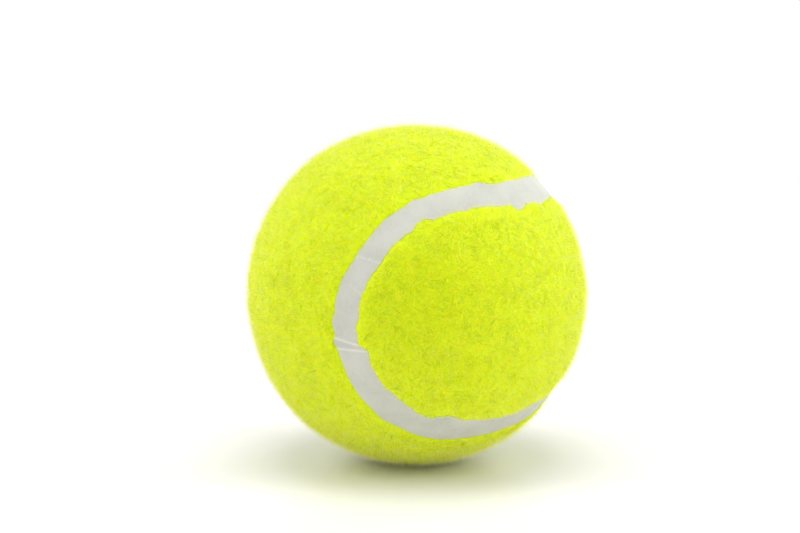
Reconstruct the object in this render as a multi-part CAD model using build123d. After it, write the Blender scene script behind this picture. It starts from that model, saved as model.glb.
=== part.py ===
from build123d import *
import os
from math import cos, pi, sin

# A tennis ball, built from its core outwards: two rubber half shells cemented rim to rim, a coat of rubber
# solution, two felt panels with their own back coats, and the rubber strip that fills the seam between them.
# The origin is the ball's centre and +Z points up.

# Driving dimensions, in millimetres
ball_diameter = 67.0
felt_thickness = 2.8
back_coat_thickness = 0.3
core_coat_thickness = 0.2
core_wall = 3.4
joint_cement_thickness = 0.3
cement_bead_radius = 0.8
seam_width = 5.5
seam_recess = 0.4
seam_shift = 1.2
cut_overrun = 2.0

# The seam's shape: the larger these shares, the deeper its four bends and the narrower each panel's waist
seam_bend_share = 0.245
seam_swing_share = 0.736

# The seam is drawn in equal spans, each a smooth curve through a few points
seam_spans = 16
span_points = 7

# How the seam sits on the core, as turns about X, Y and Z from the joint plane, in degrees
seam_turn_x = 83.8
seam_turn_y = -59.9
seam_turn_z = -44.9

# How the ball lies: the joint plane leans to the front and to the left, in degrees
lean_front = 7.1
lean_left = 2.7

# The layers' radii, from the outside in
ball_radius = ball_diameter / 2
strip_radius = ball_radius - seam_recess
back_coat_radius = ball_radius - felt_thickness
core_coat_radius = back_coat_radius - back_coat_thickness
core_radius = core_coat_radius - core_coat_thickness
hollow_radius = core_radius - core_wall

lie = Rotation(lean_front, -lean_left, 0)
seam_turn = Rotation(seam_turn_x, seam_turn_y, seam_turn_z)

# A sphere's own edge runs from pole to pole. At this turn it meets the seam once, and square on.
sphere_edge_turn = 45.0


def seam_direction(turn):
    """The unit direction from the ball's centre to a point of the evenly bent seam."""
    round_share = 1 - seam_bend_share
    x = round_share * cos(turn) + seam_bend_share * cos(3 * turn)
    y = round_share * sin(turn) - seam_bend_share * sin(3 * turn)
    return Vector(x, y, seam_swing_share * sin(2 * turn)).normalized()


def seam_sideways(turn):
    """The unit direction along the ball's surface that is square to the seam there."""
    round_share = 1 - seam_bend_share
    x = -round_share * sin(turn) - 3 * seam_bend_share * sin(3 * turn)
    y = round_share * cos(turn) - 3 * seam_bend_share * cos(3 * turn)
    slope = Vector(x, y, 2 * seam_swing_share * cos(2 * turn))
    return seam_direction(turn).cross(slope).normalized()


def seam_heading(turn):
    """The unit direction in which the seam runs there."""
    return seam_sideways(turn).cross(seam_direction(turn))


def beside_seam(turn, offset):
    """The unit direction to a point that lies this far to the seam's side, measured on the ball's surface."""
    angle = offset / ball_radius
    return seam_direction(turn) * cos(angle) + seam_sideways(turn) * sin(angle)


def wall_span(span, offset):
    """One span of a radial wall that follows the seam at this offset."""
    steps = range(span_points)
    turns = [2 * pi * (span + step / (span_points - 1)) / seam_spans for step in steps]
    rays = [beside_seam(turn, offset) for turn in turns]
    headings = [seam_heading(turns[0]), seam_heading(turns[-1])]
    inner = Spline([ray * (core_coat_radius - cut_overrun) for ray in rays], tangents=headings)
    outer = Spline([ray * (ball_radius + cut_overrun) for ray in rays], tangents=headings)
    return Face.make_surface_from_curves(inner, outer)


def seam_wall(offset):
    """The whole wall round the ball, from inside the core coat to outside the felt."""
    return Shell([wall_span(span, offset) for span in range(seam_spans)])


def spherical_shell(inner_radius, outer_radius):
    """A closed shell about the ball's centre."""
    outside = Sphere(outer_radius, rotation=(0, 0, sphere_edge_turn))
    inside = Sphere(inner_radius, rotation=(0, 0, sphere_edge_turn))
    return (outside - inside).solid()


def cut_along_seam(shell):
    """The shell's pieces on both sides of the seam's two walls: right panel, strip and left panel."""
    near_wall = seam_wall(-seam_shift - seam_width / 2)
    far_wall = seam_wall(-seam_shift + seam_width / 2)
    halves = shell.split(near_wall, Keep.ALL)
    pieces = [piece for half in halves for piece in half.split(far_wall, Keep.ALL)]
    return sorted(pieces, key=lambda piece: piece.center().Z)


def core_halves():
    """The two moulded half shells, which stop short of the joint plane by half the cement's thickness."""
    shell = spherical_shell(hollow_radius, core_radius)
    upper = shell.split(Plane.XY.offset(joint_cement_thickness / 2), Keep.TOP)
    lower = shell.split(Plane.XY.offset(-joint_cement_thickness / 2), Keep.BOTTOM)
    return upper, lower


def core_joint_cement():
    """The cement between the rims, with the bead that the rims squeezed into the hollow."""
    shell = spherical_shell(hollow_radius, core_radius)
    above = shell.split(Plane.XY.offset(-joint_cement_thickness / 2), Keep.TOP)
    layer = above.split(Plane.XY.offset(joint_cement_thickness / 2), Keep.BOTTOM)
    bead = Torus(hollow_radius, cement_bead_radius) & Sphere(hollow_radius)
    return (layer + bead).solid()


def core_coat():
    """The cured rubber solution over the whole core."""
    return spherical_shell(core_radius, core_coat_radius)


def back_coats():
    """The cured rubber solution on the back of the left and the right panel."""
    right, _, left = cut_along_seam(spherical_shell(core_coat_radius, back_coat_radius))
    return left, right


def felt_panels():
    """The left panel and the right one, whose round end faces the front."""
    right, _, left = cut_along_seam(spherical_shell(back_coat_radius, ball_radius))
    return left, right


def seam_strip():
    """The seam rubber, which fills the gap between the panels to just below the felt's face."""
    return cut_along_seam(spherical_shell(core_coat_radius, strip_radius))[1]


def main():
    upper, lower = core_halves()
    coat_left, coat_right = back_coats()
    felt_left, felt_right = felt_panels()
    core_pieces = {
        "core_half_upper": upper,
        "core_half_lower": lower,
        "core_joint_cement": core_joint_cement(),
        "core_coat": core_coat(),
    }
    cover_pieces = {
        "back_coat_left": coat_left,
        "back_coat_right": coat_right,
        "felt_panel_left": felt_left,
        "felt_panel_right": felt_right,
        "seam_strip": seam_strip(),
    }
    os.makedirs("parts", exist_ok=True)
    for name, piece in core_pieces.items():
        export_step(lie * piece, f"parts/{name}.step")
    for name, piece in cover_pieces.items():
        export_step(lie * seam_turn * piece, f"parts/{name}.step")


main()
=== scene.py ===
import math
import random

import bmesh
import bpy
import numpy as np
from mathutils import Matrix, Vector, noise


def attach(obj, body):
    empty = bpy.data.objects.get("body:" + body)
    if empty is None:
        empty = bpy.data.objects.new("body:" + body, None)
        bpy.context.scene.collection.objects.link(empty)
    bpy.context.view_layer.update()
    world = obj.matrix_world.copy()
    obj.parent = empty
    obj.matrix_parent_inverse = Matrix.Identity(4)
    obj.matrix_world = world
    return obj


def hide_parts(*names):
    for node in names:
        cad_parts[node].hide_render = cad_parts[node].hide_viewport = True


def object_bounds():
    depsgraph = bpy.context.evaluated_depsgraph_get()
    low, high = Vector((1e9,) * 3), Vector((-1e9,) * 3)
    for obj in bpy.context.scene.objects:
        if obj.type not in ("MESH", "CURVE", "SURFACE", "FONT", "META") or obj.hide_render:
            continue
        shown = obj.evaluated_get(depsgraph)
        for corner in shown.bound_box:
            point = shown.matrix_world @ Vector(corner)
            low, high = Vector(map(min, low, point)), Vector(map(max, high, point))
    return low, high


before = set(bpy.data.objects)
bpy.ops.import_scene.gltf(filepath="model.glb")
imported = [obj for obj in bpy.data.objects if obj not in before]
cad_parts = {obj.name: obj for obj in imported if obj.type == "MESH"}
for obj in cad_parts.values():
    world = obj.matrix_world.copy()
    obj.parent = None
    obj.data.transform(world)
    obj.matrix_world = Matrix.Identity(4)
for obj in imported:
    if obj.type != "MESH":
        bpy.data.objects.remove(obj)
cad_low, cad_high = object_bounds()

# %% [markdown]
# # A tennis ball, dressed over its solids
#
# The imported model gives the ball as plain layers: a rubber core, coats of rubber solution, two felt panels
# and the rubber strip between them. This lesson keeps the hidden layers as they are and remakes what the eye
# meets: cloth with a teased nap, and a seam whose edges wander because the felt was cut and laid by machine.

mm = 0.001
print("solids:", ", ".join(sorted(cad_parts)))
print("ball, in mm:", [round(side / mm, 2) for side in cad_high - cad_low])


# %% The layers' radii, read from the solids
def radii(node):
    """The smallest and the largest distance of a solid's points from the ball's centre."""
    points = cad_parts[node].data.vertices
    reach = [point.co.length for point in points]
    return min(reach), max(reach)


felt_back, felt_face = radii("felt_panel_left")
strip_back, strip_face = radii("seam_strip")
print("felt from", round(felt_back / mm, 2), "to", round(felt_face / mm, 2), "mm")
print("seam strip from", round(strip_back / mm, 2), "to", round(strip_face / mm, 2), "mm")

# %% [markdown]
# ## The camera
#
# The ball was photographed with a long lens from a little above the table. A long lens on a ball is easy to
# check: its outline is a circle, so one radius and one centre in the picture fix the lens and the aim. The
# camera looks at a point beside the ball's centre, which puts the ball right of the picture's middle and
# below it.

# %% Camera
picture_width = 800
picture_height = 533
outline_centre = (415.9, 294.2)
outline_radius = 168.7
camera_distance = 620 * mm
camera_rise = math.radians(10)

outline_angle = math.asin(felt_face / camera_distance)
pixels_per_tangent = outline_radius / math.tan(outline_angle)
camera_place = Vector((0, -math.cos(camera_rise), math.sin(camera_rise))) * camera_distance
camera_right = Vector((1, 0, 0))
camera_up = camera_right.cross(-camera_place).normalized()
metres_per_pixel = camera_distance / pixels_per_tangent
aim = camera_right * (picture_width / 2 - outline_centre[0]) * metres_per_pixel
aim += camera_up * (outline_centre[1] - picture_height / 2) * metres_per_pixel

lens = bpy.data.cameras.new("camera")
lens.lens = lens.sensor_width * pixels_per_tangent / picture_width
camera = bpy.data.objects.new("camera", lens)
camera.location = camera_place
camera.rotation_euler = (aim - camera_place).to_track_quat("-Z", "Y").to_euler()
bpy.context.scene.collection.objects.link(camera)
bpy.context.scene.camera = camera
print("lens:", round(lens.lens, 1), "mm")

# %% [markdown]
# ## The seam's course
#
# The seam of a tennis ball is one closed line with four bends. A sum of two turning circles and one swing in
# height gives such a line, which is then pulled out to the sphere. The same formula made the solids, so a
# strip drawn from it here falls in the same place.

# %% Course of the seam
bend_share = 0.245
round_share = 1 - bend_share
swing = 0.736
steps_per_degree = 4
turn = np.radians(np.arange(360 * steps_per_degree) / steps_per_degree)

course_x = round_share * np.cos(turn) + bend_share * np.cos(3 * turn)
course_y = round_share * np.sin(turn) - bend_share * np.sin(3 * turn)
course = np.stack([course_x, course_y, swing * np.sin(2 * turn)], axis=1)
course /= np.linalg.norm(course, axis=1, keepdims=True)

slope_x = -round_share * np.sin(turn) - 3 * bend_share * np.sin(3 * turn)
slope_y = round_share * np.cos(turn) - 3 * bend_share * np.cos(3 * turn)
slope = np.stack([slope_x, slope_y, 2 * swing * np.cos(2 * turn)], axis=1)
sideways = np.cross(course, slope)
sideways /= np.linalg.norm(sideways, axis=1, keepdims=True)
print("course points:", len(course))


# %% How the ball lies
def turned(x, y, z):
    """The matrix of a turn about X, then about the turned Y, then about the turned Z, in degrees."""
    about_x = Matrix.Rotation(math.radians(x), 3, "X")
    about_y = Matrix.Rotation(math.radians(y), 3, "Y")
    about_z = Matrix.Rotation(math.radians(z), 3, "Z")
    return about_x @ about_y @ about_z


# The ball's lean on the table and the seam's place on the ball, the same as in the solids, in degrees.
ball_lean = (7.1, -2.7, 0)
seam_turns = (83.8, -59.9, -44.9)
lie = turned(*ball_lean)
seam_turn = turned(*seam_turns)
course = course @ np.array(lie @ seam_turn).T
sideways = sideways @ np.array(lie @ seam_turn).T
parting_normal = np.array(lie @ Vector((0, 0, 1)))
print("the mould's parting plane faces", parting_normal.round(3))

# %% Where a point lies beside the strip
strip_shift = 1.2 * mm
strip_half_width = 2.75 * mm
rays_per_part = 4000


def beside_strip(points):
    """The nearest course point of each point, and how far it is from the strip's middle line.

    The distance is taken along the ball's face, and grows towards the left panel.
    """
    rays = points / np.linalg.norm(points, axis=1, keepdims=True)
    parts = np.array_split(rays, 1 + len(rays) // rays_per_part)
    nearest = np.concatenate([np.argmax(part @ course.T, axis=1) for part in parts])
    lean = np.arcsin(np.sum(rays * sideways[nearest], axis=1))
    return nearest, lean * felt_face + strip_shift


solid_strip = np.array([point.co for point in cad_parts["seam_strip"].data.vertices])
solid_reach = np.abs(beside_strip(solid_strip)[1]).max()
print("the solid strip reaches", round(solid_reach / mm, 2), "mm from the course")

# %% [markdown]
# ## The felt's wandering edges
#
# Each panel is stamped from woven cloth and pressed on by machine, so its edge bulges and retreats by a
# millimetre or two, and single tufts stand out like teeth. The edge could be drawn point by point, but a list
# of bumps on the even line is easier to read and to change. Bumps that can be seen from the front are listed
# one by one, the others are drawn at random from a fixed seed.

# %% Bumps along the two edges
# Each bump: turn along the seam in degrees, reach before and after it in degrees, and how many
# millimetres it widens the strip. A negative one is felt that bulges over the strip.
left_bumps = [
    (341.0, 8.0, 11.0, 1.30),
    (348.2, 4.0, 4.0, 0.20),
    (353.8, 3.0, 2.5, -0.20),
    (355.0, 20.0, 30.0, 0.95),
    (12.5, 13.0, 16.0, 1.25),
    (23.5, 7.0, 4.0, 0.70),
    (28.0, 8.0, 10.0, 0.60),
    (42.0, 1.3, 1.8, 0.60),
    (45.5, 2.5, 2.5, 0.50),
    (60.0, 8.0, 10.0, -0.68),
    (76.4, 2.6, 2.4, 0.40),
    (93.0, 3.2, 2.2, 0.60),
    (97.3, 2.4, 2.6, -0.18),
    (102.0, 3.5, 5.0, 0.42),
    (112.0, 12.0, 10.0, 1.90),
    (121.0, 9.0, 6.0, 2.60),
]
right_bumps = [
    (341.8, 3.0, 4.5, -0.85),
    (350.0, 14.0, 20.0, -0.75),
    (351.5, 2.5, 3.0, -0.30),
    (356.5, 3.0, 3.0, -0.25),
    (9.8, 4.5, 3.4, 0.60),
    (14.6, 1.6, 6.5, -0.85),
    (18.2, 2.5, 3.0, -0.40),
    (26.5, 6.0, 5.0, 0.32),
    (33.0, 5.0, 5.0, 0.35),
    (39.2, 5.5, 1.4, 0.93),
    (41.1, 0.8, 8.0, -0.62),
    (45.2, 1.8, 2.0, -0.42),
    (51.0, 4.0, 5.0, -0.28),
    (61.5, 6.0, 5.0, 0.38),
    (75.8, 4.5, 2.3, -0.95),
    (86.7, 2.2, 1.6, 0.32),
    (96.0, 6.0, 4.0, 0.35),
    (100.6, 2.4, 3.4, 1.40),
    (106.5, 3.0, 3.5, -0.40),
    (114.0, 5.5, 9.0, -1.30),
    (119.0, 4.5, 8.0, -1.20),
]
unseen_turns = (128, 334)
unseen_reach = (2, 7)
unseen_rise = (-0.8, 0.9)
unseen_pace = (4, 13)


def add_unseen_bumps(bumps, seed):
    """Puts bumps of the same kind on the stretch of the seam that the camera doesn't see."""
    draw = random.Random(seed)
    place = unseen_turns[0]
    while place < unseen_turns[1]:
        before = draw.uniform(*unseen_reach)
        after = draw.uniform(*unseen_reach)
        bumps.append((place, before, after, draw.uniform(*unseen_rise)))
        place += draw.uniform(*unseen_pace)


add_unseen_bumps(left_bumps, 11)
add_unseen_bumps(right_bumps, 12)
print("bumps on the left and the right edge:", len(left_bumps), len(right_bumps))

# %% The edges' distance from the strip's middle
course_degrees = np.degrees(turn)
ragged_size = 0.14 * mm
ragged_paces = (24, 60, 130)


def edge_line(bumps, seed):
    """Half the strip's width at each course point, with the bumps and a fine raggedness."""
    width = np.full(len(turn), strip_half_width)
    for place, before, after, rise in bumps:
        away = (course_degrees - place + 180) % 360 - 180
        share = np.clip(np.abs(away) / np.where(away < 0, before, after), 0, 1)
        width += rise * mm * (1 + np.cos(math.pi * share)) / 2
    for number, angle in enumerate(turn):
        spot = Vector((math.cos(angle), math.sin(angle), 0))
        grain = sum(noise.noise(spot * pace + Vector((0, 0, seed))) for pace in ragged_paces)
        width[number] += ragged_size * grain
    return width


left_edge = edge_line(left_bumps, 3)
right_edge = edge_line(right_bumps, 7)
print("strip width, in mm:", round((left_edge + right_edge).min() / mm, 2), "to",
      round((left_edge + right_edge).max() / mm, 2))

# %% [markdown]
# ## Cutting a ball's grid along the seam
#
# A panel is a piece of a sphere with a wandering edge. It could be cut with a knife shape and a boolean, but
# that leaves slivers. Here each vertex learns how deep inside the panel it lies, its height is swapped for
# that depth, and one flat cut at depth zero parts the grid exactly along the edge. Then the heights come
# back. A piece also gets a wall and a finer front, and its faces are put in a fixed order, because hairs are
# strewn face by face and should fall the same way in each run.


# %% Depth inside each piece
def depth_in_left(points):
    """How far inside the left panel each point lies. Outside it, this is below zero."""
    nearest, side = beside_strip(points)
    return side - left_edge[nearest]


def depth_in_right(points):
    """How far inside the right panel each point lies."""
    nearest, side = beside_strip(points)
    return -side - right_edge[nearest]


def depth_in_strip(points):
    """How far inside the strip each point lies, which is what neither panel holds."""
    return -np.maximum(depth_in_left(points), depth_in_right(points))


# %% Cutting and walling tools
grid_subdivisions = 7
cut_tolerance = 1e-6
weld_reach = 0.06 * mm


def places(vertices):
    """Where the vertices are, one row each."""
    return np.array([vertex.co for vertex in vertices])


def cut_grid(depth_in):
    """A ball's grid, cut down to where depth_in is above zero."""
    bm = bmesh.new()
    bmesh.ops.create_icosphere(bm, subdivisions=grid_subdivisions, radius=felt_face)
    home = bm.verts.layers.float_vector.new("home")
    for vertex, depth in zip(bm.verts, depth_in(places(bm.verts))):
        vertex[home] = vertex.co
        vertex.co.z = depth
    everything = bm.verts[:] + bm.edges[:] + bm.faces[:]
    bmesh.ops.bisect_plane(bm, geom=everything, dist=cut_tolerance, plane_no=(0, 0, 1), clear_inner=True)
    for vertex in bm.verts:
        vertex.co = vertex[home].normalized() * felt_face
    bm.verts.layers.float_vector.remove(home)
    bmesh.ops.remove_doubles(bm, verts=bm.verts, dist=weld_reach)
    bmesh.ops.triangulate(bm, faces=bm.faces)
    return bm


def add_wall(bm, back_radius):
    """Gives the grid a back and a rim, marks its front with the layer front, and refines that front."""
    front = bm.verts.layers.float.new("front")
    for vertex in bm.verts:
        vertex[front] = 1
    grid_faces = bm.faces[:]
    made = bmesh.ops.extrude_face_region(bm, geom=grid_faces, use_keep_orig=True)
    for vertex in made["geom"]:
        if isinstance(vertex, bmesh.types.BMVert):
            vertex[front] = 0
            vertex.co = vertex.co.normalized() * back_radius
    bmesh.ops.recalc_face_normals(bm, faces=bm.faces)
    front_edges = [edge for edge in bm.edges if all(vertex[front] > 0.5 for vertex in edge.verts)]
    bmesh.ops.subdivide_edges(bm, edges=front_edges, cuts=1, use_grid_fill=True)
    bmesh.ops.triangulate(bm, faces=bm.faces)
    return [vertex for vertex in bm.verts if vertex[front] > 0.99]


def order_faces(bm):
    """Puts the triangles in the order of their vertices."""
    bm.verts.index_update()
    count = len(bm.verts)

    def rank(face):
        low, middle, high = sorted(vertex.index for vertex in face.verts)
        return (low * count + middle) * count + high

    bm.faces.sort(key=rank)


def finish_piece(bm, name):
    """Turns a bmesh into a smooth-shaded object at the origin that rides on the ball."""
    order_faces(bm)
    for face in bm.faces:
        face.smooth = True
    mesh = bpy.data.meshes.new(name)
    bm.to_mesh(mesh)
    bm.free()
    piece = bpy.data.objects.new(name, mesh)
    bpy.context.scene.collection.objects.link(piece)
    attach(piece, "root")
    print(name, "has", len(mesh.polygons), "faces")
    return piece


# %% Lumps
def lumps(points, size, seed):
    """A smooth random height from -1 to 1 for each point, with hills about this size across."""
    shift = Vector((seed, 2.3 * seed, 0.7 * seed))
    return np.array([noise.noise(Vector(point) / size + shift) for point in points])


# %% [markdown]
# ## The felt panels
#
# Felt has no sharp face: the cloth lies a little below the tips of its nap, rolls down where it was cut, and
# is never quite even. A few broad swells and hollows keep the outline from being a perfect circle, and where
# the mould's two halves met, a faint ridge runs round the ball. A bump map could fake these, but not at the
# outline, so they are real heights in the mesh.

# %% Felt panels
nap_depth = 0.32 * mm
roll_drop = 0.12 * mm
roll_reach = 1.0 * mm
ridge_height = 0.20 * mm
ridge_half_width = 1.6 * mm
crest_height = 0.06 * mm
crest_half_width = 0.35 * mm
ridge_wander = 0.35 * mm
ridge_wander_size = 9 * mm
ridge_strength = 0.9
ridge_strength_change = 0.5
ridge_strength_size = 12 * mm
felt_lumps = ((0.10 * mm, 11 * mm), (0.02 * mm, 3.2 * mm), (0.01 * mm, 1.1 * mm))
edge_nap_share = 0.45
edge_nap_reach = 1.6 * mm


def parting_ridge(points):
    """How far the mould's parting line raises the felt at each point."""
    away = points @ parting_normal + ridge_wander * lumps(points, ridge_wander_size, 21)
    strength = ridge_strength + ridge_strength_change * lumps(points, ridge_strength_size, 22)
    broad = ridge_height * np.exp(-(away / ridge_half_width) ** 2)
    return strength * (broad + crest_height * np.exp(-(away / crest_half_width) ** 2))


# Each swell: its place round the outline in degrees, its reach and its rise in millimetres.
felt_swells = [
    (92, 12.0, -0.20),
    (126, 8.0, 0.22),
    (195, 11.0, -0.42),
]


def swells(points):
    """Broad rises and hollows of the felt."""
    rise = np.zeros(len(points))
    for place, reach, height in felt_swells:
        angle = math.radians(place)
        top = (camera_right * math.cos(angle) + camera_up * math.sin(angle)) * felt_face
        away = np.linalg.norm(points - np.array(top), axis=1) / (reach * mm)
        rise += height * mm * np.exp(-away ** 2)
    return rise


def felt_panel(name, depth_in, seed):
    """One panel of cloth with its uneven face. Each vertex keeps how long the nap is there."""
    bm = cut_grid(depth_in)
    nap_length = bm.verts.layers.float.new("nap_length")
    front = add_wall(bm, felt_back)
    points = places(front)
    depth = depth_in(points)
    height = felt_face - nap_depth - roll_drop * (1 - np.clip(depth / roll_reach, 0, 1)) ** 2
    for number, (rise, size) in enumerate(felt_lumps):
        height += rise * lumps(points, size, seed + number)
    height += parting_ridge(points) + swells(points)
    for vertex, radius, inside in zip(front, height, depth):
        vertex.co = vertex.co.normalized() * radius
        vertex[nap_length] = min(1, max(edge_nap_share, inside / edge_nap_reach))
    return finish_piece(bm, name)


felt_left = felt_panel("felt_left", depth_in_left, 31)
felt_right = felt_panel("felt_right", depth_in_right, 41)
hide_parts("felt_panel_left")
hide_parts("felt_panel_right")

# %% [markdown]
# ## The seam strip
#
# The strip is rubber that was moulded between the felt edges, a little lower than the nap. Where the mould's
# halves met, a low band crosses it between two fine raised lines, which run together towards the right panel.
# Two faint scratches cross it higher up. All of these are thin, but they catch the light, so they are heights
# in the mesh. The mesh also keeps where they lie, and where its margins are, for the material to tint.

# %% Seam strip
edge_dip = 0.03 * mm
dip_reach = 1.1 * mm
margin_reach = 0.35 * mm
strip_lumps = ((0.05 * mm, 6 * mm), (0.02 * mm, 1.6 * mm))
line_offsets = (-1.0 * mm, 0.45 * mm)
line_tilts = (0.0, 0.2)
line_half_width = 0.23 * mm
line_height = 0.18 * mm
line_wander = 0.25 * mm
line_wander_size = 5 * mm
line_strength = 0.85
line_strength_change = 0.3
line_strength_size = 4 * mm
band_half_width = 0.9 * mm
band_rise = 0.06 * mm


def parting_marks(points):
    """How strongly each point of the strip belongs to the mould's band and to its raised lines."""
    across = points @ parting_normal + line_wander * lumps(points, line_wander_size, 51)
    band = np.exp(-(across / band_half_width) ** 4)
    lines = np.zeros(len(points))
    side = beside_strip(points)[1]
    for number, (offset, tilt) in enumerate(zip(line_offsets, line_tilts)):
        change = lumps(points, line_strength_size, 52 + number)
        strength = line_strength + line_strength_change * change
        lines += strength * np.exp(-((across - offset - tilt * side) / line_half_width) ** 2)
    return band, lines


# Each scratch: turn along the seam in degrees and millimetres beside the strip's middle, for its two
# ends, and how strongly it shows.
scratches = [
    (59.5, 2.2, 61.2, -3.3, 0.5),
    (53.8, 0.3, 52.5, -2.5, 0.35),
]
scratch_half_width = 0.16
mm_per_degree = 0.91


def scratch_marks(points):
    """How strongly each point of the strip belongs to a scratch."""
    nearest, side = beside_strip(points)
    marks = np.zeros(len(points))
    for first_turn, first_side, last_turn, last_side, strength in scratches:
        share = np.clip((side / mm - first_side) / (last_side - first_side), 0, 1)
        past_end = side / mm - first_side - share * (last_side - first_side)
        along = course_degrees[nearest] - first_turn - share * (last_turn - first_turn)
        away = np.hypot(along * mm_per_degree, past_end)
        marks += strength * np.exp(-(away / scratch_half_width) ** 2)
    return marks


def seam_piece(name):
    """The strip with its raised marks. Each vertex keeps which mark it lies on."""
    bm = cut_grid(depth_in_strip)
    in_band = bm.verts.layers.float.new("band")
    on_line = bm.verts.layers.float.new("line")
    at_margin = bm.verts.layers.float.new("margin")
    top = add_wall(bm, strip_back)
    points = places(top)
    depth = depth_in_strip(points)
    margin = np.exp(-(depth / margin_reach) ** 2)
    height = strip_face - edge_dip * (1 - np.clip(depth / dip_reach, 0, 1)) ** 2
    for number, (rise, size) in enumerate(strip_lumps):
        height += rise * lumps(points, size, 61 + number)
    band, lines = parting_marks(points)
    lines += scratch_marks(points)
    height += band_rise * band + line_height * lines
    for vertex, radius, banded, lined, edged in zip(top, height, band, lines, margin):
        vertex.co = vertex.co.normalized() * radius
        vertex[in_band] = banded
        vertex[on_line] = lined
        vertex[at_margin] = edged
    return finish_piece(bm, name)


seam_rubber = seam_piece("seam_rubber")
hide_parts("seam_strip")

# %% [markdown]
# ## The nap
#
# Felt is teased until a coat of short, curled wool and nylon hairs covers the cloth. A hair system would show
# it, but hairs are lost when a model is exported, so each hair here is a tiny closed spike: ten triangles for
# a hair that lies and curls, four for the fuzz that stands on top. Three of each are modelled once, with
# different curls, and a geometry node tree strews thousands of turned and stretched copies over the cloth.


# %% One hair
hair_radius = 0.045 * mm
hair_segments = 3
hair_taper = 0.3
curl_power = 1.8
root_spread = 0.04


def hair(name, curl, heights):
    """A three-sided spike along Z, one millimetre long, whose tip bends by curl millimetres towards -X.

    Its rings lie at these shares of its length, and the last of them is the tip. Each vertex keeps its place
    along and around the hair. Those of the root lie a little apart, so that its face has room in a flat map.
    """
    bm = bmesh.new()
    bmesh.ops.create_circle(bm, cap_ends=True, segments=hair_segments, radius=hair_radius)
    along = bm.verts.layers.float.new("along")
    around = bm.verts.layers.float.new("around")
    for number, vertex in enumerate(bm.verts):
        vertex[around] = number / (hair_segments - 1)
        vertex[along] = root_spread * (number % 2)
    centre = Vector((0, 0, 0))
    for height in heights:
        rim = [edge for edge in bm.edges if edge.is_boundary]
        grown = bmesh.ops.extrude_edge_only(bm, edges=rim)["geom"]
        ring = [part for part in grown if isinstance(part, bmesh.types.BMVert)]
        next_centre = Vector((-curl * height ** curl_power, 0, height)) * mm
        girth = 1 - hair_taper * height
        bmesh.ops.scale(bm, verts=ring, vec=(girth, girth, 1), space=Matrix.Translation(-centre))
        bmesh.ops.translate(bm, verts=ring, vec=next_centre - centre)
        centre = next_centre
        for vertex in ring:
            vertex[along] = height
    bmesh.ops.pointmerge(bm, verts=ring, merge_co=centre)
    bmesh.ops.recalc_face_normals(bm, faces=bm.faces)
    mesh = bpy.data.meshes.new(name)
    bm.to_mesh(mesh)
    bm.free()
    return bpy.data.objects.new(name, mesh)


hair_stock = bpy.data.collections.new("hair_stock")
for number, curl in enumerate((0.12, 0.32, 0.55)):
    hair_stock.objects.link(hair(f"hair_{number}", curl, (0.5, 1.0)))
fuzz_stock = bpy.data.collections.new("fuzz_stock")
for number, curl in enumerate((0.05, 0.21, 0.38)):
    fuzz_stock.objects.link(hair(f"fuzz_{number}", curl, (1.0,)))


# %% Node helpers
def add_node(tree, kind, **settings):
    """A new node with these settings."""
    made = tree.nodes.new(kind)
    for name, value in settings.items():
        setattr(made, name, value)
    return made


def join(tree, source, target):
    """A link from one socket to another."""
    tree.links.new(source, target)


def feed(tree, value, target):
    """Joins a socket to the target, or sets the target to a plain value. None leaves it as it is."""
    if isinstance(value, bpy.types.NodeSocket):
        join(tree, value, target)
    elif value is not None:
        target.default_value = value


def math_node(tree, operation, first, second):
    """A Math node whose two inputs are sockets or plain numbers."""
    made = add_node(tree, "ShaderNodeMath", operation=operation)
    feed(tree, first, made.inputs[0])
    feed(tree, second, made.inputs[1])
    return made.outputs[0]


def vector_node(tree, operation, first, second=None, scale=None):
    """A Vector Math node whose inputs are sockets or plain vectors."""
    made = add_node(tree, "ShaderNodeVectorMath", operation=operation)
    feed(tree, first, made.inputs[0])
    feed(tree, second, made.inputs[1])
    if operation == "SCALE":
        feed(tree, scale, made.inputs["Scale"])
    return made.outputs[0]


# %% The tree that strews hairs
strew = bpy.data.node_groups.new("strew_hairs", "GeometryNodeTree")
strew.interface.new_socket("Cloth", in_out="INPUT", socket_type="NodeSocketGeometry")
coat_settings = ("Density", "Length", "Girth", "Lift Low", "Lift High", "Tone Low", "Tone High")
for name in coat_settings:
    strew.interface.new_socket(name, in_out="INPUT", socket_type="NodeSocketFloat")
strew.interface.new_socket("Seed", in_out="INPUT", socket_type="NodeSocketInt")
strew.interface.new_socket("Stock", in_out="INPUT", socket_type="NodeSocketCollection")
strew.interface.new_socket("Hairs", in_out="OUTPUT", socket_type="NodeSocketGeometry")
strew_in = add_node(strew, "NodeGroupInput")
strew_out = add_node(strew, "NodeGroupOutput")


def attribute(name):
    """Reads a number that the mesh carries under this name."""
    made = add_node(strew, "GeometryNodeInputNamedAttribute", data_type="FLOAT")
    made.inputs["Name"].default_value = name
    return made.outputs["Attribute"]


def drawn(low, high, shift):
    """A random number for each hair, between two sockets or numbers."""
    made = add_node(strew, "FunctionNodeRandomValue", data_type="FLOAT")
    feed(strew, low, made.inputs[2])
    feed(strew, high, made.inputs[3])
    join(strew, math_node(strew, "ADD", strew_in.outputs["Seed"], shift), made.inputs["Seed"])
    return made.outputs[1]


def drawn_vector(shift):
    """A random vector for each hair, with each part between -1 and 1."""
    made = add_node(strew, "FunctionNodeRandomValue", data_type="FLOAT_VECTOR")
    made.inputs[0].default_value = (-1, -1, -1)
    made.inputs[1].default_value = (1, 1, 1)
    join(strew, math_node(strew, "ADD", strew_in.outputs["Seed"], shift), made.inputs["Seed"])
    return made.outputs[0]


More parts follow.
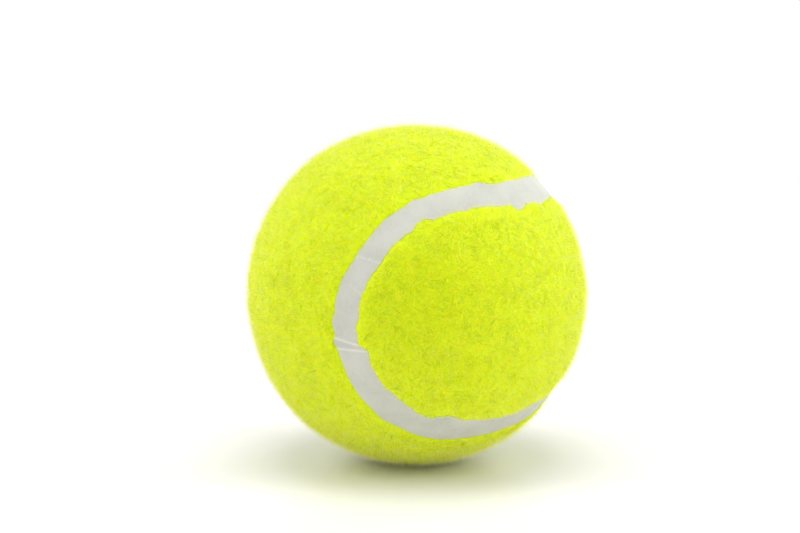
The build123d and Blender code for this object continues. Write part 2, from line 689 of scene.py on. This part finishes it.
# %% Points on the cloth's front
scatter = add_node(strew, "GeometryNodeDistributePointsOnFaces", distribute_method="RANDOM")
join(strew, strew_in.outputs["Cloth"], scatter.inputs["Mesh"])
front_density = math_node(strew, "MULTIPLY", strew_in.outputs["Density"], attribute("front"))
join(strew, front_density, scatter.inputs["Density"])
join(strew, strew_in.outputs["Seed"], scatter.inputs["Seed"])
print("nodes so far:", len(strew.nodes))

# %% Direction of each hair: combed in swirls, with some disorder, and lifted from the cloth
here = add_node(strew, "GeometryNodeInputPosition").outputs[0]
swirl = add_node(strew, "ShaderNodeTexNoise")
swirl_size = 4.5 * mm
swirl_strength = 4.0
bend_disorder = 1.6
swirl.inputs["Scale"].default_value = 1 / swirl_size
swirl.inputs["Detail"].default_value = 1.0
join(strew, here, swirl.inputs["Vector"])
combed = vector_node(strew, "SUBTRACT", swirl.outputs["Color"], (0.5, 0.5, 0.5))
combed = vector_node(strew, "SCALE", combed, scale=swirl_strength)
loose = vector_node(strew, "ADD", combed, drawn_vector(1))
along_cloth = vector_node(strew, "CROSS_PRODUCT", scatter.outputs["Normal"], loose)
flat_way = vector_node(strew, "NORMALIZE", along_cloth)
lift = drawn(strew_in.outputs["Lift Low"], strew_in.outputs["Lift High"], 2)
upward = vector_node(strew, "SCALE", scatter.outputs["Normal"], scale=lift)
way = vector_node(strew, "NORMALIZE", vector_node(strew, "ADD", flat_way, upward))
bend_away = vector_node(strew, "SCALE", drawn_vector(3), scale=bend_disorder)
spin = add_node(strew, "FunctionNodeAxesToRotation", primary_axis="Z", secondary_axis="X")
join(strew, way, spin.inputs[0])
join(strew, vector_node(strew, "ADD", scatter.outputs["Normal"], bend_away), spin.inputs[1])
print("nodes so far:", len(strew.nodes))

# %% Copies of the hairs, each with its own length
# The pick is cut down to a whole number, so it stays just below the three hairs of a stock.
length_range = (0.65, 1.35)
pick_range = (0, 2.999)
stock = add_node(strew, "GeometryNodeCollectionInfo")
join(strew, strew_in.outputs["Stock"], stock.inputs["Collection"])
stock.inputs["Separate Children"].default_value = True
stretch = math_node(strew, "MULTIPLY", strew_in.outputs["Length"], attribute("nap_length"))
stretch = math_node(strew, "MULTIPLY", stretch, drawn(*length_range, 4))
size = add_node(strew, "ShaderNodeCombineXYZ")
join(strew, strew_in.outputs["Girth"], size.inputs["X"])
join(strew, strew_in.outputs["Girth"], size.inputs["Y"])
join(strew, stretch, size.inputs["Z"])
copies = add_node(strew, "GeometryNodeInstanceOnPoints")
join(strew, scatter.outputs["Points"], copies.inputs["Points"])
join(strew, stock.outputs[0], copies.inputs["Instance"])
copies.inputs["Pick Instance"].default_value = True
join(strew, drawn(*pick_range, 5), copies.inputs["Instance Index"])
join(strew, spin.outputs[0], copies.inputs["Rotation"])
join(strew, size.outputs[0], copies.inputs["Scale"])
print("nodes so far:", len(strew.nodes))

# %% Tone: neighbours share some of it, as tufts do
tuft = add_node(strew, "ShaderNodeTexNoise")
tuft_size = 0.9 * mm
tuft_contrast = 0.42
tuft.inputs["Scale"].default_value = 1 / tuft_size
tuft.inputs["Detail"].default_value = 2.0
join(strew, here, tuft.inputs["Vector"])
tuft_tone = math_node(strew, "SUBTRACT", tuft.outputs[0], 0.5)
tuft_tone = math_node(strew, "MULTIPLY", tuft_tone, tuft_contrast)
own_tone = drawn(strew_in.outputs["Tone Low"], strew_in.outputs["Tone High"], 6)
tone = add_node(strew, "GeometryNodeStoreNamedAttribute", data_type="FLOAT", domain="INSTANCE")
tone.inputs["Name"].default_value = "tone"
join(strew, copies.outputs[0], tone.inputs["Geometry"])
hair_tone = math_node(strew, "MINIMUM", math_node(strew, "ADD", tuft_tone, own_tone), 1)
join(strew, math_node(strew, "MAXIMUM", hair_tone, 0), tone.inputs["Value"])
print("nodes so far:", len(strew.nodes))

# %% Real meshes, and a flat map in which a hair's place is its tone
tone_room = 0.98
around_room = 0.015
real = add_node(strew, "GeometryNodeRealizeInstances")
join(strew, tone.outputs[0], real.inputs[0])
across = math_node(strew, "MULTIPLY", attribute("tone"), tone_room)
across = math_node(strew, "ADD", across, math_node(strew, "MULTIPLY", attribute("around"), around_room))
flat_place = add_node(strew, "ShaderNodeCombineXYZ")
join(strew, across, flat_place.inputs["X"])
join(strew, attribute("along"), flat_place.inputs["Y"])
flat_map = add_node(strew, "GeometryNodeStoreNamedAttribute", data_type="FLOAT2", domain="CORNER")
flat_map.inputs["Name"].default_value = "OFBake"
join(strew, real.outputs[0], flat_map.inputs["Geometry"])
join(strew, flat_place.outputs[0], flat_map.inputs["Value"])
join(strew, flat_map.outputs[0], strew_out.inputs["Hairs"])
strew_sockets = {item.name: item.identifier for item in strew.interface.items_tree}
print("nodes that strew hairs:", len(strew.nodes))


# %% Coats of hair
def nap_coat(name, cloth, values):
    """One coat of hairs on a felt panel, as a mesh of its own."""
    grower = bpy.data.objects.new("grower", cloth.data)
    bpy.context.scene.collection.objects.link(grower)
    growing = grower.modifiers.new("strew", "NODES")
    growing.node_group = strew
    for label, value in values.items():
        growing[strew_sockets[label]] = value
    grower.update_tag()
    graph = bpy.context.evaluated_depsgraph_get()
    grown = grower.evaluated_get(graph)
    mesh = bpy.data.meshes.new_from_object(grown, preserve_all_data_layers=True, depsgraph=graph)
    bpy.data.objects.remove(grower)
    mesh.name = name
    coat = bpy.data.objects.new(name, mesh)
    bpy.context.scene.collection.objects.link(coat)
    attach(coat, "root")
    mesh.calc_loop_triangles()
    print(name, "has", len(mesh.loop_triangles), "triangles")
    return coat


# Each coat's settings, in the order of coat_settings. Lengths are in millimetres, and a girth of 1 is one
# hair_radius.
per_square_mm = 1 / mm ** 2
coat_kinds = {
    "lying": (2.7 * per_square_mm, 2.0, 1.58, 0.02, 0.10, 0.0, 0.7),
    "combed": (2.85 * per_square_mm, 1.7, 1.15, 0.06, 0.22, 0.05, 0.95),
    "raised": (2.85 * per_square_mm, 1.2, 0.63, 0.20, 0.50, 0.0, 1.0),
    "standing": (7.25 * per_square_mm, 1.25, 0.54, 5.0, 16.0, 0.9, 1.1),
}
nap = {}
for side, cloth in (("left", felt_left), ("right", felt_right)):
    coats = []
    for number, (kind, values) in enumerate(coat_kinds.items()):
        settings = dict(zip(coat_settings, values))
        settings["Seed"] = 100 + 10 * number + (side == "right")
        settings["Stock"] = fuzz_stock if kind == "standing" else hair_stock
        coats.append(nap_coat(f"nap_{side}_{kind}", cloth, settings))
    nap[side] = coats

# %% [markdown]
# ## Shared finish: mottling
#
# Cloth, rubber and cured solution all vary a little from place to place, finely and broadly at once. One node
# group mixes a fine and a broad noise into a mask, and each material uses it with its own sizes.

# %% Mottling group
mottling = bpy.data.node_groups.new("mottling", "ShaderNodeTree")
mottling.interface.new_socket("Vector", in_out="INPUT", socket_type="NodeSocketVector")
for name in ("Fine Scale", "Broad Scale", "Broad Share"):
    mottling.interface.new_socket(name, in_out="INPUT", socket_type="NodeSocketFloat")
mottling.interface.new_socket("Mask", in_out="OUTPUT", socket_type="NodeSocketFloat")
mottling_in = add_node(mottling, "NodeGroupInput")
mottling_out = add_node(mottling, "NodeGroupOutput")
fine = add_node(mottling, "ShaderNodeTexNoise")
fine.inputs["Detail"].default_value = 4.0
fine.inputs["Roughness"].default_value = 0.6
join(mottling, mottling_in.outputs["Vector"], fine.inputs["Vector"])
join(mottling, mottling_in.outputs["Fine Scale"], fine.inputs["Scale"])
broad = add_node(mottling, "ShaderNodeTexNoise")
broad.inputs["Detail"].default_value = 2.0
join(mottling, mottling_in.outputs["Vector"], broad.inputs["Vector"])
join(mottling, mottling_in.outputs["Broad Scale"], broad.inputs["Scale"])
blend = add_node(mottling, "ShaderNodeMix", data_type="FLOAT")
join(mottling, mottling_in.outputs["Broad Share"], blend.inputs[0])
join(mottling, fine.outputs[0], blend.inputs[2])
join(mottling, broad.outputs[0], blend.inputs[3])
join(mottling, blend.outputs[0], mottling_out.inputs["Mask"])
print("nodes that mottle:", len(mottling.nodes))


# %% Material helpers
def new_material(name):
    """An empty node material with its Principled shader."""
    material = bpy.data.materials.new(name)
    material.use_nodes = True
    tree = material.node_tree
    return material, tree, tree.nodes["Principled BSDF"]


def mottled(tree, fine_size, broad_size, broad_share):
    """The mottling mask on Object coordinates, with its two sizes in metres."""
    where = add_node(tree, "ShaderNodeTexCoord")
    group = add_node(tree, "ShaderNodeGroup", node_tree=mottling)
    group.inputs["Fine Scale"].default_value = 1 / fine_size
    group.inputs["Broad Scale"].default_value = 1 / broad_size
    group.inputs["Broad Share"].default_value = broad_share
    join(tree, where.outputs["Object"], group.inputs["Vector"])
    return group.outputs["Mask"]


def coloured(tree, mask, stops):
    """A colour ramp over a mask. Each stop is a place and a colour."""
    ramp = add_node(tree, "ShaderNodeValToRGB")
    bar = ramp.color_ramp
    while len(bar.elements) < len(stops):
        bar.elements.new(0.5)
    for element, (place, colour) in zip(bar.elements, stops):
        element.position = place
        element.color = (*colour, 1)
    join(tree, mask, ramp.inputs[0])
    return ramp.outputs["Color"]


def ranged(tree, mask, low, high):
    """A mask from 0.3 to 0.7, stretched between two values."""
    spread = add_node(tree, "ShaderNodeMapRange")
    spread.inputs["From Min"].default_value = 0.3
    spread.inputs["From Max"].default_value = 0.7
    spread.inputs["To Min"].default_value = low
    spread.inputs["To Max"].default_value = high
    join(tree, mask, spread.inputs["Value"])
    return spread.outputs[0]


def tinted(tree, colour, share, tint):
    """A colour, mixed with a tint by the share that a socket gives.

    A Mix node keeps its two colours in inputs 6 and 7, and the mixed one in output 2.
    """
    mixed = add_node(tree, "ShaderNodeMix", data_type="RGBA")
    join(tree, share, mixed.inputs[0])
    join(tree, colour, mixed.inputs[6])
    mixed.inputs[7].default_value = (*tint, 1)
    return mixed.outputs[2]


def bumped(tree, shader, mask, height):
    """Bump from a mask, with its height in metres."""
    bump = add_node(tree, "ShaderNodeBump")
    bump.inputs["Distance"].default_value = height
    join(tree, mask, bump.inputs["Height"])
    join(tree, bump.outputs[0], shader.inputs["Normal"])


# %% [markdown]
# ## Felt
#
# The cloth under the nap is the same wool and nylon, dyed the same bright yellow-green; its colour is painted
# deeper as painted shade, because less light gets there. Each hair has its own tone, and its root is painted
# deeper, as painted shade from the hairs around it. The fuzz on top is painted paler towards its tips, a
# painted sheen for the light that its fibres scatter, so the ball looks paler at its rim, where the eye looks
# through more of it. A hair's colour depends only on its own tone and on the place along it, so all hairs can
# share one small baked map.

# %% Felt cloth
felt_cloth, tree, shader = new_material("felt_cloth")
mask = mottled(tree, 0.5 * mm, 2.4 * mm, 0.35)
# The cloth's colours are painted deeper than the hairs' colours, as painted shade under the nap.
cloth_shade_stops = [
    (0.30, (0.56, 0.72, 0.003)),
    (0.52, (0.70, 0.84, 0.006)),
    (0.72, (0.80, 0.91, 0.01)),
]
colour = coloured(tree, mask, cloth_shade_stops)
join(tree, colour, shader.inputs["Base Color"])
join(tree, ranged(tree, mask, 0.95, 0.85), shader.inputs["Roughness"])
shader.inputs["Specular IOR Level"].default_value = 0.2
shader.inputs["Sheen Weight"].default_value = 0.4
shader.inputs["Sheen Roughness"].default_value = 0.5
shader.inputs["Sheen Tint"].default_value = (0.95, 1.0, 0.45, 1)
bumped(tree, shader, mask, 0.04 * mm)
print("felt cloth has", len(tree.nodes), "nodes")

# %% Nap hairs and fuzz
# Painted shade at a hair's root: its tone there is this share of the tone at its tip.
root_shade_level = 0.55


def hair_material(name, stops):
    """The finish of single hairs: each has its own tone, and its root is painted deeper, as painted shade."""
    material, tree, shader = new_material(name)
    hair_tone = add_node(tree, "ShaderNodeAttribute", attribute_name="tone")
    hair_along = add_node(tree, "ShaderNodeAttribute", attribute_name="along")
    towards_tip = math_node(tree, "MULTIPLY", hair_along.outputs["Fac"], 1 - root_shade_level)
    painted_shade_factor = math_node(tree, "ADD", towards_tip, root_shade_level)
    hair_mask = math_node(tree, "MULTIPLY", hair_tone.outputs["Fac"], painted_shade_factor)
    join(tree, coloured(tree, hair_mask, stops), shader.inputs["Base Color"])
    join(tree, ranged(tree, hair_tone.outputs["Fac"], 0.22, 0.15), shader.inputs["Roughness"])
    shader.inputs["Specular IOR Level"].default_value = 0.32
    return material


hair_stops = [
    (0.00, (0.46, 0.70, 0.001)),
    (0.22, (0.825, 0.922, 0.002)),
    (0.52, (0.97, 0.98, 0.006)),
    (0.75, (0.975, 0.98, 0.02)),
    (1.00, (0.985, 0.985, 0.08)),
]
nap_hair = hair_material("nap_hair", hair_stops)
# The fuzz is painted pale towards its tips, a painted sheen for the light that its fibres scatter at the rim.
fuzz_sheen_stops = [
    (0.50, (0.95, 0.975, 0.008)),
    (0.66, (0.965, 0.98, 0.06)),
    (0.82, (0.975, 0.985, 0.40)),
    (1.00, (0.985, 0.985, 0.93)),
]
nap_fuzz = hair_material("nap_fuzz", fuzz_sheen_stops)
print("colours in a hair and in fuzz:", len(hair_stops), len(fuzz_sheen_stops))

# %% [markdown]
# ## Seam rubber
#
# The strip is pale grey rubber with a satin skin. It is faintly cloudy and carries a few dark specks of dust.
# Along its margins stray fibres give it a yellow-green tinge, and the mould's band differs a little in tone.
# The mould's raised lines are painted paler, a painted highlight where they catch the light, and the
# scratches take the same pale tint. So those marks are read from the mesh and mixed in.

# %% Seam rubber and dust
speck_spacing = 3.4 * mm
speck_colour = (0.30, 0.30, 0.22)
seam_skin, tree, shader = new_material("seam_skin")
mask = mottled(tree, 0.6 * mm, 4.5 * mm, 0.6)
grey_stops = [
    (0.32, (0.505, 0.51, 0.45)),
    (0.50, (0.56, 0.565, 0.505)),
    (0.70, (0.605, 0.61, 0.55)),
]
grey = coloured(tree, mask, grey_stops)
where = add_node(tree, "ShaderNodeTexCoord")
specks = add_node(tree, "ShaderNodeTexVoronoi")
specks.inputs["Scale"].default_value = 1 / speck_spacing
join(tree, where.outputs["Object"], specks.inputs["Vector"])
speck_mask = add_node(tree, "ShaderNodeMapRange")
speck_mask.inputs["From Min"].default_value = 0.03
speck_mask.inputs["From Max"].default_value = 0.07
speck_mask.inputs["To Min"].default_value = 0.5
speck_mask.inputs["To Max"].default_value = 0.0
join(tree, specks.outputs["Distance"], speck_mask.inputs["Value"])
seam_colour = tinted(tree, grey, speck_mask.outputs[0], speck_colour)
print("seam rubber has", len(tree.nodes), "nodes before its marks")

# %% Marks on the seam rubber
# Each mark: how much of the tint it takes, and the tint.
mark_tints = {
    "band": (0.45, (0.50, 0.475, 0.42)),
    # The pale tint of the raised lines is a painted highlight; the scratches share it.
    "line": (0.9, (0.78, 0.77, 0.72)),
    "margin": (0.65, (0.62, 0.70, 0.08)),
}
for mark, (share, tint) in mark_tints.items():
    carried = add_node(tree, "ShaderNodeAttribute", attribute_name=mark)
    strength = math_node(tree, "MULTIPLY", carried.outputs["Fac"], share)
    seam_colour = tinted(tree, seam_colour, strength, tint)
join(tree, seam_colour, shader.inputs["Base Color"])
join(tree, ranged(tree, mask, 0.6, 0.5), shader.inputs["Roughness"])
shader.inputs["Specular IOR Level"].default_value = 0.25
bumped(tree, shader, mask, 0.04 * mm)
print("seam rubber has", len(tree.nodes), "nodes")

# %% [markdown]
# ## The hidden layers
#
# Nobody sees the core until a ball is cut open, but a part in a library will be. The core is dark rubber with
# buffing marks, the cement is an amber rubber glue, and the coats are a thin, milky tan film.


# %% Hidden layers
def layer_material(name, sizes, stops, roughness, bump):
    """A mottled finish: the mottling's sizes and share, colours, roughness from and to, and bump height."""
    material, tree, shader = new_material(name)
    mask = mottled(tree, *sizes)
    join(tree, coloured(tree, mask, stops), shader.inputs["Base Color"])
    join(tree, ranged(tree, mask, *roughness), shader.inputs["Roughness"])
    bumped(tree, shader, mask, bump)
    return material


core_rubber = layer_material(
    "core_rubber", (0.5 * mm, 5 * mm, 0.4),
    [(0.3, (0.018, 0.017, 0.016)), (0.7, (0.034, 0.032, 0.030))], (0.9, 0.7), 0.08 * mm)
joint_cement = layer_material(
    "joint_cement", (0.8 * mm, 4 * mm, 0.6),
    [(0.3, (0.20, 0.10, 0.025)), (0.7, (0.30, 0.17, 0.055))], (0.5, 0.35), 0.05 * mm)
rubber_solution = layer_material(
    "rubber_solution", (1.2 * mm, 7 * mm, 0.5),
    [(0.3, (0.34, 0.27, 0.16)), (0.7, (0.46, 0.39, 0.26))], (0.75, 0.55), 0.03 * mm)
node_materials = {
    "core_half_upper": core_rubber,
    "core_half_lower": core_rubber,
    "core_joint_cement": joint_cement,
    "core_coat": rubber_solution,
    "back_coat_left": rubber_solution,
    "back_coat_right": rubber_solution,
}


def wear(piece, material):
    """Gives a piece this one material."""
    piece.data.materials.clear()
    piece.data.materials.append(material)


for name, material in node_materials.items():
    wear(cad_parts[name], material)
for cloth in (felt_left, felt_right):
    wear(cloth, felt_cloth)
for coat in nap["left"] + nap["right"]:
    wear(coat, nap_fuzz if coat.name.endswith("standing") else nap_hair)
wear(seam_rubber, seam_skin)
print("materials:", ", ".join(sorted(material.name for material in bpy.data.materials)))

# %% [markdown]
# ## The felt as cloth
#
# Before it was pressed on, each panel lay flat: a dumbbell about as long as half the ball's girth with the
# two round ends, and it is stretched over its coat.

# %% [markdown]
# ## Table and light
#
# The ball lies on a smooth white table in a white studio. One large soft light hangs overhead, weaker ones
# stand on either side, high and low, in front and behind, and a faint even light comes from all round, so no
# shadow has a hard edge. The table is slightly glossy, so a blurred reflection of the felt tinges the
# shadow, and far from the ball it fades into the white of the background.

# %% Table
table_radius = 4.0
table_bm = bmesh.new()
bmesh.ops.create_circle(table_bm, cap_ends=True, segments=64, radius=table_radius)
table_mesh = bpy.data.meshes.new("table")
table_bm.to_mesh(table_mesh)
table_bm.free()
table_mesh.transform(Matrix.Translation((0, 0, cad_low.z)))
table = bpy.data.objects.new("table", table_mesh)
bpy.context.scene.collection.objects.link(table)
print("the table's face lies at", round(cad_low.z / mm, 2), "mm")


# %% Table finish
def seen_directly(tree):
    """1 for rays from the camera, from gloss or through glass, and 0 for the rest, such as diffuse light."""
    ray = add_node(tree, "ShaderNodeLightPath")
    seen = math_node(tree, "MAXIMUM", ray.outputs["Is Camera Ray"], ray.outputs["Is Glossy Ray"])
    return math_node(tree, "MAXIMUM", seen, ray.outputs["Is Transmission Ray"])


fade_start = 0.08
fade_end = 0.5
table_top, tree, shader = new_material("table_top")
mask = mottled(tree, 30 * mm, 300 * mm, 0.5)
white = coloured(tree, mask, [(0.3, (0.91, 0.89, 0.89)), (0.7, (0.93, 0.91, 0.91))])
join(tree, white, shader.inputs["Base Color"])
shader.inputs["Roughness"].default_value = 0.36
shader.inputs["Specular IOR Level"].default_value = 0.5
distance = add_node(tree, "ShaderNodeVectorMath", operation="LENGTH")
join(tree, add_node(tree, "ShaderNodeTexCoord").outputs["Object"], distance.inputs[0])
fading = add_node(tree, "ShaderNodeMapRange", interpolation_type="SMOOTHSTEP")
fading.inputs["From Min"].default_value = fade_start
fading.inputs["From Max"].default_value = fade_end
join(tree, distance.outputs["Value"], fading.inputs["Value"])
glow = add_node(tree, "ShaderNodeEmission")
faded = add_node(tree, "ShaderNodeMixShader")
join(tree, math_node(tree, "MULTIPLY", seen_directly(tree), fading.outputs[0]), faded.inputs[0])
join(tree, shader.outputs[0], faded.inputs[1])
join(tree, glow.outputs[0], faded.inputs[2])
join(tree, faded.outputs[0], tree.nodes["Material Output"].inputs["Surface"])
wear(table, table_top)
print("table finish has", len(tree.nodes), "nodes")

# %% Even light from all round
sky_level = 0.2
studio = bpy.data.worlds.new("studio")
bpy.context.scene.world = studio
studio.use_nodes = True
tree = studio.node_tree
sky = tree.nodes["Background"]
sky.inputs["Color"].default_value = (1, 1, 1, 1)
strength = add_node(tree, "ShaderNodeMix", data_type="FLOAT")
strength.inputs[2].default_value = sky_level
strength.inputs[3].default_value = 1
join(tree, seen_directly(tree), strength.inputs[0])
join(tree, strength.outputs[0], sky.inputs["Strength"])
print("level of the even light:", sky_level)


# %% Studio lamps
def soft_light(name, place, size, power):
    """A square area light that faces the ball."""
    lamp = bpy.data.lights.new(name, "AREA")
    lamp.shape = "SQUARE"
    lamp.size = size
    lamp.energy = power
    light = bpy.data.objects.new(name, lamp)
    light.location = place
    light.rotation_euler = (-Vector(place)).to_track_quat("-Z", "Y").to_euler()
    bpy.context.scene.collection.objects.link(light)


soft_light("overhead", (0.0, 0.0, 0.9), 0.6, 4.7)
soft_light("from_left", (-0.65, -0.05, 0.5), 0.5, 2.0)
soft_light("from_right", (0.65, -0.05, 0.5), 0.5, 1.6)
soft_light("low_left", (-0.75, -0.1, 0.2), 0.4, 1.0)
soft_light("low_right", (0.75, -0.1, 0.2), 0.4, 2.0)
soft_light("low_front", (0.0, -0.75, 0.2), 0.4, 1.0)
soft_light("high_front", (0.0, -0.5, 0.68), 0.5, 0.7)
soft_light("back_left", (-0.45, 0.6, 0.35), 0.4, 0.75)
soft_light("back_right", (0.45, 0.6, 0.35), 0.4, 0.75)
bpy.context.scene.view_settings.view_transform = "Standard"
print("lamps:", len(bpy.data.lights))
